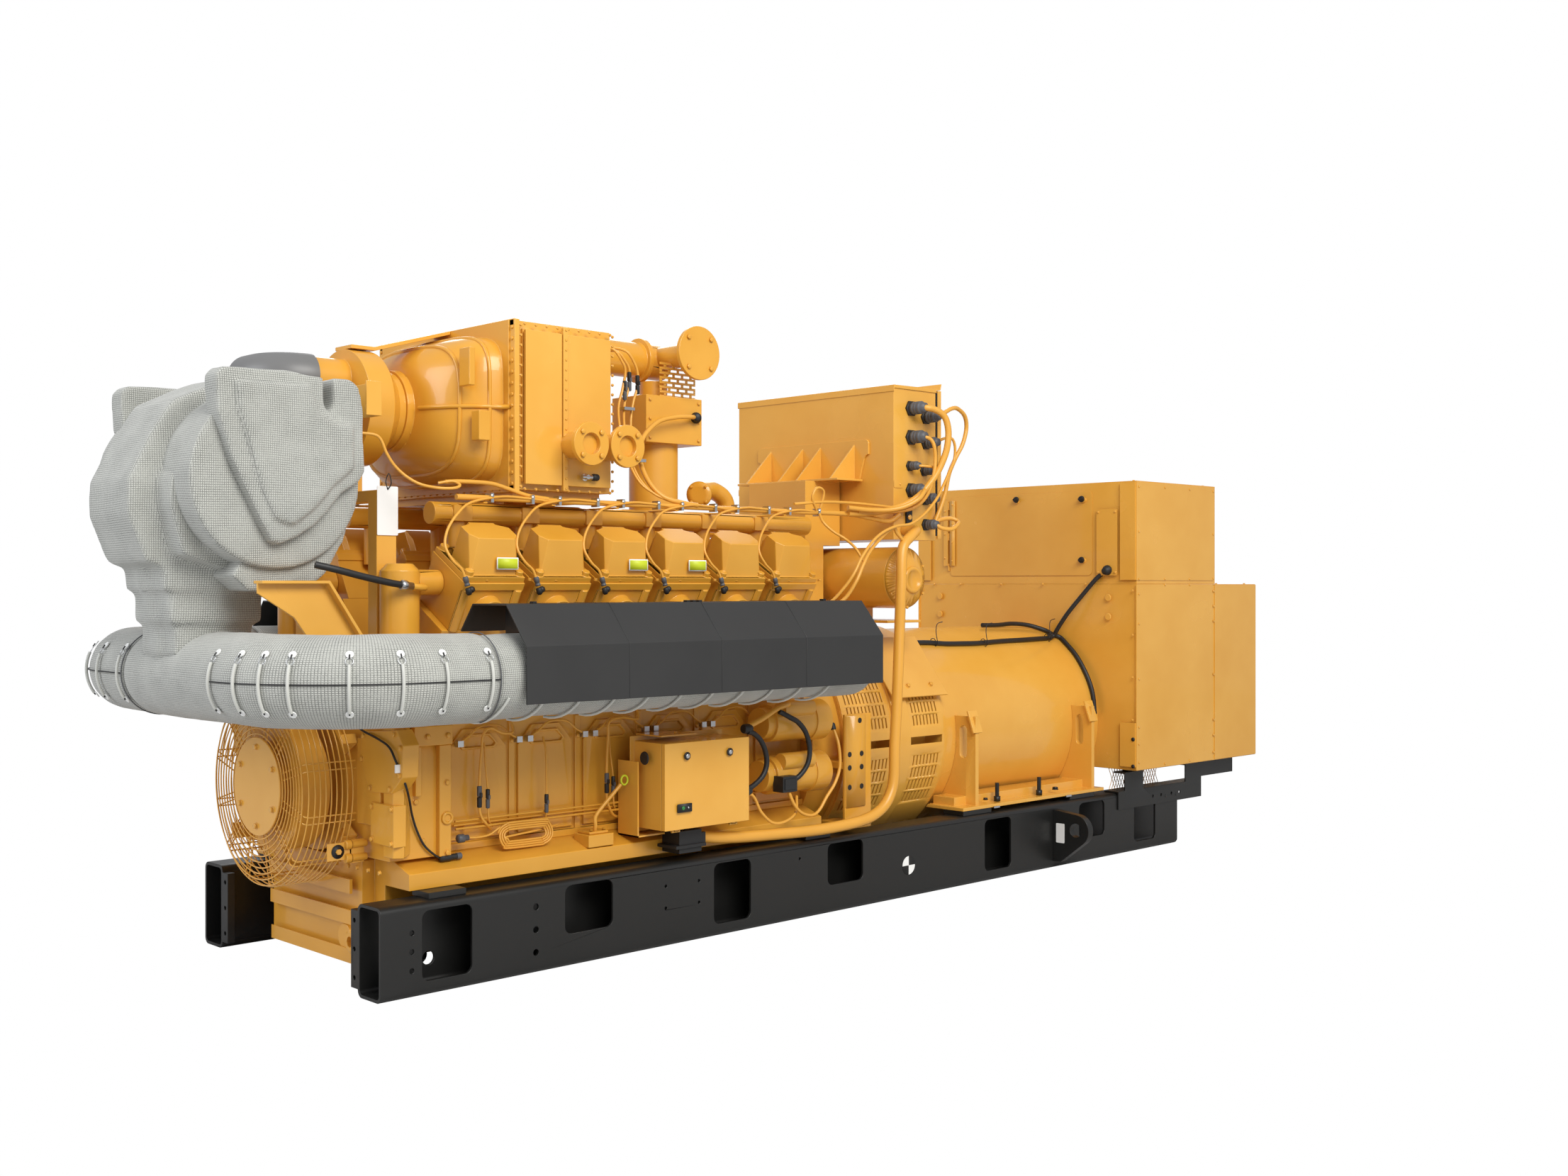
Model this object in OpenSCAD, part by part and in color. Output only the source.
// Gas generator set: twelve-cylinder vee engine and alternator on two box rails.
// X runs from the damper end to the alternator end, Y across, Z up, floor at z = 0.

/* [Base rails] */
// Length of each rail
rail_l = 4860; // [4600:10:5400]
// Height of the rail section
rail_h = 320; // [280:5:400]
// Width of the rail section
rail_w = 150; // [120:5:200]
// Wall of the rail section
rail_t = 12; // [8:1:16]
// Clear distance between the two rails
rail_gap = 1020; // [980:10:1100]

/* [Engine] */
// Height of the crankshaft centreline above the floor
crank_z = 680; // [660:5:760]
// Distance from one cylinder to the next
bore_pitch = 304; // [296:2:330]
// Cylinders in each bank
cyls = 6; // [4:1:6]
// Lean of each bank from the vertical
bank_deg = 30; // [28:1:32]
// Distance from the crankshaft to the rocker cover joint
joint_w = 906; // [890:2:930]
// Half width of the crankcase skirt
skirt_y = 430; // [400:5:450]
// Height of a rocker cover above its joint
cover_h = 146; // [120:2:160]

/* [Exhaust] */
// Distance of each exhaust manifold from the centre plane
exh_y = 830; // [800:5:900]
// Height of the exhaust manifold centreline
exh_z = 1088; // [1060:4:1120]
// Outer radius of the wrapped exhaust pipe
wrap_r = 156; // [140:2:165]
// Thickness of the black heat shield sheet
shield_t = 6; // [4:1:10]
// Width of the heat shield from the centre plane
shield_y = 1000; // [990:5:1080]

/* [Alternator] */
// Radius of the alternator frame
alt_r = 500; // [460:5:520]
// Length of the alternator frame barrel
alt_l = 1290; // [1200:10:1400]
// Width of the terminal box
box_w = 1478; // [1400:10:1560]
// Top of the terminal box above the floor
box_top = 1940; // [1860:10:2060]
// Bottom of the terminal box above the floor
box_bottom = 437; // [420:1:460]
// Height of the seam between the two halves of the terminal box
box_seam = 1420; // [1380:10:1460]
// Sheet thickness of the terminal box
box_t = 6; // [4:1:10]
// Length of the upper half of the terminal box
box_upper_l = 762; // [700:2:840]
// Length of the rear extension of the terminal box
box_ext_l = 434; // [380:2:500]

/* [Aftercooler] */
// Length of the aftercooler core box
cool_l = 450; // [400:10:500]
// Width of the aftercooler core box
cool_w = 900; // [820:10:960]
// Height of the aftercooler core box
cool_h = 630; // [560:10:700]
// Underside of the aftercooler above the floor
cool_z = 1755; // [1740:5:1800]

/* [Control gear] */
// Width of the control cabinet across the engine
cab_w = 1040; // [900:10:1100]
// Depth of the control cabinet
cab_d = 294; // [240:2:340]
// Height of the control cabinet
cab_h = 707; // [600:1:760]
// Width of the junction box
jbox_w = 440; // [380:5:480]
// Height of the junction box
jbox_h = 334; // [300:2:380]
// Depth of the junction box with its door
jbox_d = 184; // [150:2:210]

/* [Hidden] */

paint = "#E9A63A";
black = "#2E2E2D";
blanket = "#B9B9B5";
rubber = "#222222";
fit = 0.3;

// Lengthwise places, all counted from the middle of the set.
rail_x0 = -2530;
block_x0 = -2160;
block_l = cyls * bore_pitch + 8;
block_x1 = block_x0 + block_l;
front_x0 = -2420;
fly_x1 = 10;
alt_x0 = 530;
box_x0 = alt_x0 + alt_l;
rail_y = rail_gap / 2;
deck_w = joint_w - 200;
cyl_x = [for (i = [0:cyls - 1]) block_x0 + 156 + i * bore_pitch];
pan_flange_z = crank_z - 240;
skirt_top_z = crank_z + 300;
cool_x0 = -1850;
cool_mid_z = cool_z + cool_h / 2;
guard_x0 = -2640;
guard_l = 190;
guard_r = 360;
guard_plate_r = 176;
guard_pitch = 21;
cab_x0 = 183;
cab_z0 = 1607;
jbox_x0 = -1346;
jbox_z0 = 458;
jbox_y = 720;
adapter_r = alt_r + 22;
collar_x = -2120;
bell_r = 155;
bell_x1 = cool_x0 - 24;
flange_z = 1930;
flange_r = 82;
flange_x = [-1610, -1436];
crossover_z = 1433;
crossover_r = 140;
crossover_x = 214;
guard_a_x0 = -148;
band_a = [guard_a_x0, 170];
band_b = [277, alt_x0];
compressor_r = 215;
compressor_z = 2060;
guard_shell = 8;
ring_r = adapter_r + guard_shell + 14;

// Lengthwise values are counted from a datum near the flywheel; this puts the middle of the set at x = 0.
datum_x = 77;
module placed() {
    translate([datum_x, 0, 0]) children();
}

module both_sides() {
    children();
    mirror([0, 1, 0]) children();
}

// A rectangle with round corners, its low corner at the origin.
module rounded_rect(w, h, r) {
    translate([r, 0]) square([w - 2 * r, h]);
    translate([0, r]) square([w, h - 2 * r]);
    for (x = [r, w - r], y = [r, h - r]) translate([x, y]) circle(r, $fn = 32);
}

// A flat plate in the XZ plane with rounded corners, from y = 0 to y = t.
module rounded_plate(w, h, t, r) {
    translate([0, t, 0]) rotate([90, 0, 0]) linear_extrude(t) rounded_rect(w, h, r);
}

// A hexagon bolt head that points along +Z.
module hex_head(d, h) {
    cylinder(d = d, h = h, $fn = 6);
}

// Heads of bolts on a circle in the YZ plane that point along -X.
module bolt_circle_x(pcd, n, d, h) {
    for (i = [0:n - 1]) rotate([i * 360 / n + 180 / n, 0, 0])
        translate([0, 0, pcd / 2]) rotate([0, -90, 0]) hex_head(d, h);
}

// A round bar from point a to point b.
module bar(a, b, r, sides = 32) {
    d = b - a;
    len = norm(d);
    translate(a) rotate([0, acos(d[2] / len), atan2(d[1], d[0])]) cylinder(r = r, h = len, $fn = sides);
}

// A pipe along a list of points, with a ball at each turn.
module pipe_run(pts, r) {
    for (i = [0:len(pts) - 2]) bar(pts[i], pts[i + 1], r);
    for (i = [1:1:len(pts) - 2]) translate(pts[i]) sphere(r, $fn = 32);
}

// Points on a smooth curve through a list of points, with n steps in each span.
function curve_point(p0, p1, p2, p3, t) =
    0.5 * ((2 * p1) + (p2 - p0) * t + (2 * p0 - 5 * p1 + 4 * p2 - p3) * t * t
        + (3 * p1 - p0 - 3 * p2 + p3) * t * t * t);
function smooth_route(pts, n) = [
    for (i = [0:len(pts) - 2], k = [0:n - 1])
        curve_point(pts[max(i - 1, 0)], pts[i], pts[i + 1], pts[min(i + 2, len(pts) - 1)], k / n),
    pts[len(pts) - 1]];
function unit(v) = v / norm(v);
function tangent(pts, i) = unit(pts[min(i + 1, len(pts) - 1)] - pts[max(i - 1, 0)]);
function carried(v, t) = unit(v - (v * t) * t);
function ring_axes(pts, i, last) =
    let (t = tangent(pts, i), n = carried(last, t)) n;
function all_axes(pts, i = 0, last = [0.31, 0.17, 0.93], out = []) =
    i >= len(pts) ? out
    : let (n = ring_axes(pts, i, last)) all_axes(pts, i + 1, n, concat(out, [n]));

// A round cable along points: a closed tube with the given number of sides.
module cable(route, r, sides = 8) {
    axes = all_axes(route);
    rings = len(route);
    points = [for (i = [0:rings - 1], k = [0:sides - 1])
        let (n = axes[i], b = cross(tangent(route, i), n), a = k * 360 / sides)
            route[i] + r * (cos(a) * n + sin(a) * b)];
    walls = [for (i = [0:rings - 2], k = [0:sides - 1])
        let (m = (k + 1) % sides)
            [i * sides + k, (i + 1) * sides + k, (i + 1) * sides + m, i * sides + m]];
    first = [for (k = [0:sides - 1]) k];
    last = [for (k = [sides - 1:-1:0]) (rings - 1) * sides + k];
    polyhedron(points, concat(walls, [first], [last]), convexity = 8);
}

// ---------------------------------------------------------------- base

// Windows in the rail web: middle, width, low edge, high edge.
tall_window = [50, 290];
short_window = [121, 297];
rail_windows = concat(
    [for (x = [-2270, -940, 770, 2015]) [x, 200, tall_window]],
    [for (x = [-1660, -282, 1535]) [x, 220, short_window]]);
window_r = 28;
bolt_rows = [[-2410, [94, 158, 222], 9], [-1900, [76, 158, 240], 11.5]];
small_holes = [[-1290, 150], [-1290, 235], [-1120, 150], [-1120, 235], [-560, 255]];

// One box rail with its windows, bolt holes and front end flange; inner face at y = 0.
module rail_body() {
    difference() {
        translate([rail_x0, 0, 0]) rotate([90, 0, 90]) linear_extrude(rail_l) difference() {
            translate([-rail_w, 0]) rounded_rect(rail_w, rail_h, 26);
            translate([-rail_w + rail_t, rail_t]) rounded_rect(rail_w - 2 * rail_t, rail_h - 2 * rail_t, 16);
        }
        for (w = rail_windows) translate([w[0] - w[1] / 2, -rail_w - 1, w[2][0]])
            rounded_plate(w[1], w[2][1] - w[2][0], w[0] > 2000 ? rail_w + 2 : rail_t + 2, window_r);
        for (row = bolt_rows, z = row[1]) translate([row[0], -rail_w + rail_t + 1, z])
            rotate([90, 0, 0]) cylinder(r = row[2], h = rail_t + 2, $fn = 32);
        for (h = small_holes) translate([h[0], -rail_w + rail_t + 1, h[1]])
            rotate([90, 0, 0]) cylinder(r = 6, h = rail_t + 2, $fn = 24);
        translate([rail_x0 + 270, 1, 92]) rotate([90, 0, 0]) cylinder(r = 24, h = rail_t + 2, $fn = 32);
    }
    end_flange();
}

flange_w = 45;
flange_t = 30;
module end_flange() {
    difference() {
        translate([rail_x0, 0, 26]) cube([flange_t, flange_w, rail_h - 52]);
        for (z = [62, rail_h / 2, rail_h - 62]) translate([rail_x0 - 1, flange_w / 2, z])
            rotate([0, 90, 0]) cylinder(r = 8, h = flange_t + 2, $fn = 32);
    }
}

module rail_near() {
    placed() color(black) translate([0, -rail_y, 0]) rail_body();
}

module rail_far() {
    placed() color(black) mirror([0, 1, 0]) translate([0, -rail_y, 0]) rail_body();
}

// Welded lifting lugs that stand out from the rails, one on each side.
lug_x = 1204;
lug_t = 40;
lug_reach = 135;
lug_eye_z = 200;
lug_eye_r = 34;
lug_round = 76;
module lug() {
    translate([lug_x, -rail_y - rail_w, 0]) rotate([90, 0, 90]) linear_extrude(lug_t) difference() {
        hull() {
            translate([-lug_reach, lug_eye_z]) circle(lug_round, $fn = 64);
            translate([-10, 40]) square([10, 250]);
            translate([-46, 36]) square([46, 20]);
        }
        translate([-lug_reach, lug_eye_z]) circle(lug_eye_r, $fn = 48);
    }
}

module lifting_lugs() {
    placed() color(black) both_sides() lug();
}

// Shims and pads between the feet and the rail tops.
pad_h = 22;
engine_pad_x = [-2250, -420];
alt_pad_x = [640, 1480];
pad_l = 210;
module engine_mount_pads() {
    placed() color(black) both_sides() {
        for (x = engine_pad_x) translate([x - 75, -rail_y - 120, rail_h]) cube([150, 110, pad_h]);
        for (x = alt_pad_x) translate([x - pad_l / 2, -rail_y - 130, rail_h]) cube([pad_l, 122, pad_h]);
    }
}

// Angles bolted to the rear of the rails, with seats that carry the terminal box.
angle_t = 8;
angle_x0 = 1760;
angle_x1 = 2560;
angle_h = 86;
seat_x = [[1820, 1990], [2400, 2560]];
seat_h = box_bottom - rail_h - 14 - 8;
module box_support() {
    translate([0, -rail_y - rail_w - angle_t, 0]) {
        difference() {
            union() {
                translate([angle_x0, 0, rail_h - angle_h]) cube([angle_x1 - angle_x0, angle_t, angle_h + angle_t]);
                translate([angle_x0, 0, rail_h]) cube([angle_x1 - angle_x0, 90, angle_t]);
                for (s = seat_x) {
                    translate([s[0], 0, rail_h + angle_t]) cube([s[1] - s[0], angle_t, seat_h]);
                    translate([s[0], 0, rail_h + seat_h]) cube([s[1] - s[0], 74, angle_t]);
                }
                translate([seat_x[1][1], 0, rail_h + 24]) cube([330, angle_t, seat_h - 16]);
                translate([seat_x[1][1], 0, rail_h + seat_h]) cube([330, 74, angle_t]);
            }
            for (x = [2080, 2160, 2260, 2340]) translate([x, angle_t + 1, rail_h - angle_h / 2])
                rotate([90, 0, 0]) cylinder(r = 8, h = angle_t + 2, $fn = 24);
        }
        for (x = [1905, 2480, 2780]) translate([x, 38, rail_h + seat_h + angle_t]) cylinder(r = 28, h = 14, $fn = 48);
    }
}

module box_support_brackets() {
    placed() color(black) both_sides() box_support();
}

// ---------------------------------------------------------------- engine

pan_y = 400;
lip_y = 560;
lip_z = rail_h + pad_h;
pan_bottom = 62;
module pan_section() {
    polygon([[-330, pan_bottom], [330, pan_bottom], [pan_y, 130], [pan_y, lip_z], [lip_y, lip_z],
        [lip_y, lip_z + 58], [skirt_y + 12, pan_flange_z], [-skirt_y - 12, pan_flange_z],
        [-lip_y, lip_z + 58], [-lip_y, lip_z], [-pan_y, lip_z], [-pan_y, 130]]);
}

module oil_pan() {
    placed() color(paint) {
        translate([front_x0 + 60, 0, 0]) rotate([90, 0, 90]) linear_extrude(block_x1 - front_x0 - 60) pan_section();
        translate([front_x0 + 10, -330, 96]) cube([50, 660, 330]);
        translate([front_x0 - 10, -240, 150]) rotate([0, 90, 0]) cylinder(r = 46, h = 30);
    }
}

// Half outline of the vee block from the pan joint to the valley; y outward, z up.
bank_u = [sin(bank_deg), cos(bank_deg)];
bank_v = [cos(bank_deg), -sin(bank_deg)];
crank_c = [0, crank_z];
head_half = 112;
function on_bank(along, across) = crank_c + along * bank_u + across * bank_v;
deck_out = on_bank(deck_w, head_half);
deck_in = on_bank(deck_w, -head_half);
wall_foot = on_bank(deck_w - 270, head_half + 4);
valley_z = 1120;
valley_y = deck_in[0] - (deck_in[1] - valley_z) * tan(bank_deg);
module block_half() {
    polygon([[-1, pan_flange_z], [skirt_y, pan_flange_z], [skirt_y, skirt_top_z - 70],
        [wall_foot[0] + 20, skirt_top_z + 10], wall_foot, deck_out, deck_in,
        [valley_y, valley_z], [-1, valley_z]]);
}

module crankcase() {
    placed() color(paint) {
        translate([block_x0, 0, 0]) rotate([90, 0, 90]) linear_extrude(block_l) {
            block_half();
            mirror([1, 0]) block_half();
        }
        both_sides() {
            translate([block_x0, -skirt_y - 14, pan_flange_z]) cube([block_l, 15, 26]);
            for (i = [0:cyls - 2]) translate([cyl_x[i] + bore_pitch / 2 - 13, -skirt_y - 10, pan_flange_z + 26])
                cube([26, 11, skirt_top_z - pan_flange_z - 106]);
        }
    }
}

// Inspection doors with a six-sided head, one for each cylinder on each side.
door_w = 250;
door_h = 400;
door_t = 12;
door_y = skirt_y;
module crankcase_door() {
    rotate([90, 0, 0]) {
        linear_extrude(door_t) polygon([[-door_w / 2, 0], [door_w / 2, 0], [door_w / 2, door_h - 70],
            [door_w / 4, door_h], [-door_w / 4, door_h], [-door_w / 2, door_h - 70]]);
        translate([0, 0, door_t]) linear_extrude(10) difference() {
            polygon([[-70, door_h - 74], [70, door_h - 74], [84, door_h - 58], [50, door_h - 20],
                [-50, door_h - 20], [-84, door_h - 58]]);
            polygon([[-62, door_h - 66], [62, door_h - 66], [72, door_h - 56], [44, door_h - 28],
                [-44, door_h - 28], [-72, door_h - 56]]);
        }
    }
}

module crankcase_doors() {
    placed() color(paint) both_sides() for (x = cyl_x) translate([x, -door_y, pan_flange_z + 36]) crankcase_door();
}

// Gear housing at the damper end.
front_y = 500;
module front_outline() {
    polygon([[-front_y, pan_flange_z], [front_y, pan_flange_z], [front_y, 800], [front_y - 30, 900],
        [390, 1010], [330, 1150], [-330, 1150], [-390, 1010], [-front_y + 30, 900], [-front_y, 800]]);
}

damper_bore = 60;
damper_fit = 0.5;
module front_housing() {
    placed() color(paint) difference() {
        union() {
            translate([front_x0 + 20, 0, 0]) rotate([90, 0, 90]) linear_extrude(block_x0 - front_x0 - 20) front_outline();
            translate([front_x0, 0, crank_z]) rotate([0, 90, 0]) cylinder(r = 250, h = 21, $fn = 96);
            both_sides() translate([front_x0, -470, 560]) cube([21, 160, 300]);
        }
        translate([front_x0 - 1, 0, crank_z]) rotate([0, 90, 0]) cylinder(r = damper_bore + damper_fit, h = 160, $fn = 64);
    }
}

// Wire cage over the crankshaft damper.
wire = 5;
spokes = 12;
face_rings = [for (r = [guard_plate_r + 10:guard_pitch:guard_r - 8]) r];
side_rings = [for (x = [guard_pitch:guard_pitch:guard_l]) x];
module ring_x(r, x, w) {
    translate([x - w / 2, 0, 0]) rotate([0, 90, 0]) linear_extrude(w) difference() {
        circle(r + w / 2, $fn = 96);
        circle(r - w / 2, $fn = 96);
    }
}

module damper_guard() {
    placed() color(paint) translate([guard_x0, 0, crank_z]) {
        for (r = face_rings) ring_x(r, wire / 2, wire);
        for (x = side_rings) ring_x(guard_r, x, wire);
        translate([-2, 0, 0]) rotate([0, 90, 0]) cylinder(r = guard_plate_r, h = 5, $fn = 96);
        for (i = [0:spokes - 1]) rotate([i * 360 / spokes, 0, 0]) {
            translate([wire - 2, -wire / 2, guard_plate_r - 24]) cube([wire, wire, guard_r - guard_plate_r + 24]);
            translate([wire - 2, -wire / 2, guard_r - wire]) cube([guard_l, wire, wire]);
        }
        bolt_circle_x(pcd = 2 * guard_plate_r - 70, n = 6, d = 22, h = 9);
        for (a = [60, 120, 240, 300]) rotate([a, 0, 0]) {
            translate([guard_l - 26, -14, guard_r - 4]) cube([front_x0 - guard_x0 - guard_l + 26 - fit, 28, 4]);
            translate([front_x0 - guard_x0 - 4, -14, 262]) cube([4 - fit, 28, guard_r - 262]);
        }
    }
}

damper_r = 235;
module crank_damper() {
    placed() color(paint) translate([0, 0, crank_z]) rotate([0, 90, 0]) {
        translate([0, 0, front_x0 - 170]) cylinder(r = damper_r, h = 110, $fn = 96);
        translate([0, 0, front_x0 - 190]) cylinder(r = 110, h = 21, $fn = 64);
        translate([0, 0, front_x0 - 61]) cylinder(r = damper_bore, h = 200, $fn = 64);
    }
}

// Cylinder heads: one block for each cylinder, square to its bank.
head_l = bore_pitch - 44;
head_h = joint_w - deck_w;
pillar_r = 20;
module head() {
    translate([-head_l / 2, -head_half, 0]) cube([head_l, 2 * head_half, head_h - 30]);
    translate([-head_l / 2, -head_half - 8, head_h - 30]) cube([head_l, 2 * head_half + 16, 30]);
    for (x = [-1, 1]) translate([x * (head_l / 2 - pillar_r), head_half - 4, 0]) cylinder(r = pillar_r, h = head_h - 30, $fn = 32);
    translate([0, head_half, 86]) rotate([-90, 0, 0]) cylinder(r = 58, h = 42, $fn = 48);
}

module bank_row() {
    for (x = cyl_x) translate([x, 0, crank_z]) rotate([-bank_deg, 0, 0]) children();
}

module cylinder_heads_far() {
    placed() color(paint) bank_row() translate([0, 0, deck_w]) head();
}

module cylinder_heads_near() {
    placed() color(paint) mirror([0, 1, 0]) bank_row() translate([0, 0, deck_w]) head();
}

// Rocker cover: a flange and a cast hood. The hood is a section across the bank, cut to a plan with a
// narrow inner neck, and its two outer corners are cut off by sloping planes.
cover_w = 226;
cover_l = head_l - 6;
cover_flange = 22;
neck_half = 55;
hood_half = cover_l / 2 - 24;
hood_nose = hood_half - 26;
hood_foot_v = cover_w / 2 - 15;
hood_top_v = hood_foot_v - 50;
boss_inset = 21;
module slope_cut(p, n) {
    translate(p) rotate([0, acos(n[2] / norm(n)), atan2(n[1], n[0])]) translate([-150, -150, 0]) cube([300, 300, 200]);
}

module hood_section() {
    polygon([[-cover_w / 2 + 13, 0], [hood_foot_v, 0], [hood_foot_v, cover_flange], [hood_top_v, cover_h],
        [-cover_w / 2 + 40, cover_h], [-cover_w / 2 + 13, cover_h - 60]]);
}

module hood_plan() {
    polygon([[-hood_half, hood_foot_v], [hood_half, hood_foot_v], [hood_half, -40], [neck_half, -62],
        [neck_half, -cover_w / 2], [-neck_half, -cover_w / 2], [-neck_half, -62], [-hood_half, -40]]);
}

module rocker_cover() {
    nose = [hood_nose, hood_top_v, cover_h];
    edge = [hood_half - hood_nose, -33, 0];
    foot = [hood_half - 3, hood_foot_v, cover_flange] - nose;
    n = cross(edge, foot);
    translate([-cover_l / 2, -cover_w / 2, 0]) cube([cover_l, cover_w, cover_flange]);
    difference() {
        intersection() {
            translate([-cover_l / 2, 0, 0]) rotate([90, 0, 90]) linear_extrude(cover_l) hood_section();
            linear_extrude(cover_h) hood_plan();
        }
        for (side = [1, -1]) slope_cut([side * nose[0], nose[1], nose[2]], [side * abs(n[0]), abs(n[1]), abs(n[2])]);
    }
    for (x = [-1, 1], y = [-1, 1]) translate([x * (cover_l / 2 - boss_inset), y * (cover_w / 2 - boss_inset), 0])
        cylinder(r = 17, h = 40, $fn = 32);
}

module rocker_covers_far() {
    placed() color(paint) bank_row() translate([0, 0, joint_w]) rocker_cover();
}

module rocker_covers_near() {
    placed() color(paint) mirror([0, 1, 0]) bank_row() translate([0, 0, joint_w]) rocker_cover();
}

// ---------------------------------------------------------------- exhaust

wrap_x1 = -430;
wrap_bend = 350;
wrap_bend_x = -2510;
cross_x = wrap_bend_x - wrap_bend;
cross_y = exh_y - wrap_bend;
module exhaust_leg() {
    translate([wrap_bend_x, -exh_y, exh_z]) rotate([0, 90, 0]) cylinder(r = wrap_r, h = wrap_x1 - wrap_bend_x, $fn = 64);
    translate([wrap_bend_x, -cross_y, exh_z]) rotate([0, 0, 180]) rotate_extrude(angle = 90, $fn = 96)
        translate([wrap_bend, 0]) circle(wrap_r, $fn = 64);
}

module exhaust_wrap_near() {
    placed() color(blanket) exhaust_leg();
}

module exhaust_wrap_far() {
    placed() color(blanket) mirror([0, 1, 0]) exhaust_leg();
}

riser_top = 1474;
riser_r = [150, 226];
module exhaust_wrap_front() {
    placed() color(blanket) {
        translate([cross_x, cross_y - fit, exh_z]) rotate([90, 0, 0]) cylinder(r = wrap_r, h = 2 * (cross_y - fit), $fn = 64);
        translate([cross_x, 0, exh_z]) cylinder(r1 = riser_r[0], r2 = riser_r[1], h = riser_top - exh_z, $fn = 64);
    }
}

// Insulation over the turbine: an inlet box that narrows to the front, a round scroll, an apron under it
// and a hood on each side.
scroll_x = -2755;
scroll_z = 1757;
scroll_r = 305;
scroll_y = 385;
turbine_x0 = -3170;
turbine_x1 = -2450;
module inlet_side() {
    polygon([[turbine_x0 + 50, riser_top + fit], [turbine_x0, 1620], [turbine_x0, 1745], [turbine_x0 + 140, 2030],
        [turbine_x0 + 355, 2130], [scroll_x + 60, 2130], [scroll_x + 60, riser_top + fit]]);
}

module inlet_plan() {
    polygon([[turbine_x0, -165], [turbine_x0 + 140, -scroll_y + 20], [scroll_x + 60, -scroll_y + 20],
        [scroll_x + 60, scroll_y - 20], [turbine_x0 + 140, scroll_y - 20], [turbine_x0, 165]]);
}

module apron() {
    polygon([[-2920, 1420], [-2840, 1376], [-2640, 1376], [-2560, 1440], [-2490, 1560], [turbine_x1 + 4, 1690],
        [turbine_x1, 1790], [-2700, 1800]]);
}

hood_t = 66;
module hood() {
    polygon([[-2985, 1960], [-2992, 2090], [-2960, 2118], [-2740, 2120], [-2600, 2100], [turbine_x1, 2110],
        [turbine_x1, 1770], [-2500, 1735], [-2560, 1700], [-2650, 1580], [-2740, 1540], [-2790, 1530],
        [-2860, 1640], [-2930, 1780]]);
}

module turbo_wrap() {
    placed() color(blanket) {
        intersection() {
            translate([0, scroll_y, 0]) rotate([90, 0, 0]) linear_extrude(2 * scroll_y) inlet_side();
            linear_extrude(box_top * 2) inlet_plan();
        }
        difference() {
            translate([scroll_x, scroll_y, scroll_z]) rotate([90, 0, 0]) cylinder(r = scroll_r, h = 2 * scroll_y, $fn = 96);
            translate([cross_x, 0, exh_z]) cylinder(r = riser_r[1] + 2, h = riser_top + fit - exh_z, $fn = 64);
        }
        translate([0, scroll_y - 25, 0]) rotate([90, 0, 0]) linear_extrude(2 * scroll_y - 50) difference() {
            apron();
            translate([cross_x - riser_r[1], exh_z]) square([2 * riser_r[1] + 2, riser_top + fit - exh_z]);
        }
        both_sides() translate([0, -scroll_y + 1, 0]) rotate([90, 0, 0]) linear_extrude(hood_t) hood();
    }
}

module shield_section() {
    polygon([[-600, 1240], [-675, 1335], [-880, 1335], [-shield_y, 1195], [-shield_y, 1000],
        [-shield_y + shield_t, 1000], [-shield_y + shield_t, 1195 - 3], [-880 + 3, 1335 - shield_t],
        [-675 - 3, 1335 - shield_t], [-600 - 5, 1240 - 4]]);
}

shield_x0 = -2180;
shield_x1 = -417;
module shield() {
    translate([shield_x0, 0, 0]) rotate([90, 0, 90]) linear_extrude(shield_x1 - shield_x0) shield_section();
    for (x = [shield_x0 + 120, (shield_x0 + shield_x1) / 2, shield_x1 - 160])
        translate([x, 0, 0]) rotate([90, 0, 90]) linear_extrude(30) difference() {
            polygon([[-840, 1100], [-700, 1100], [-700, 1335 - 3], [-840, 1335 - 3]]);
            translate([-exh_y, exh_z]) circle(wrap_r + fit, $fn = 64);
        }
}

module heat_shield_near() {
    placed() color(black) shield();
}

module heat_shield_far() {
    placed() color(black) mirror([0, 1, 0]) shield();
}

// Channels from the gear housing that carry the turbine, and the tie above the aftercooler inlet.
channel_y = 420;
channel_t = 10;
channel_top = [[-2850, 1406], [-2610, 1406], [-2478, 1210], [-2350, 1149]];
channel_foot = [[-2350, 969], [-2415, 969], [-2415, 1120], [-2640, 1180], [-2720, 1290], [-2850, 1372]];
post_x = -2335;
tie_x = -2300;
tie_z = compressor_z + compressor_r;
tie_rise = 95;
tie_t = 14;
module tie_profile() {
    polygon([[tie_x, 0], [tie_x + 100, 0], [bell_x1 - fit, tie_rise], [bell_x1 - fit, tie_rise + tie_t],
        [tie_x + 97, tie_t], [tie_x, tie_t]]);
}

module channel_flange() {
    polygon([[-2850, 1404], [-2850, 1414], [-2605, 1414], [-2472, 1214], [-2368, 1163], [-2372, 1153],
        [-2480, 1205], [-2611, 1404]]);
}

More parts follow.
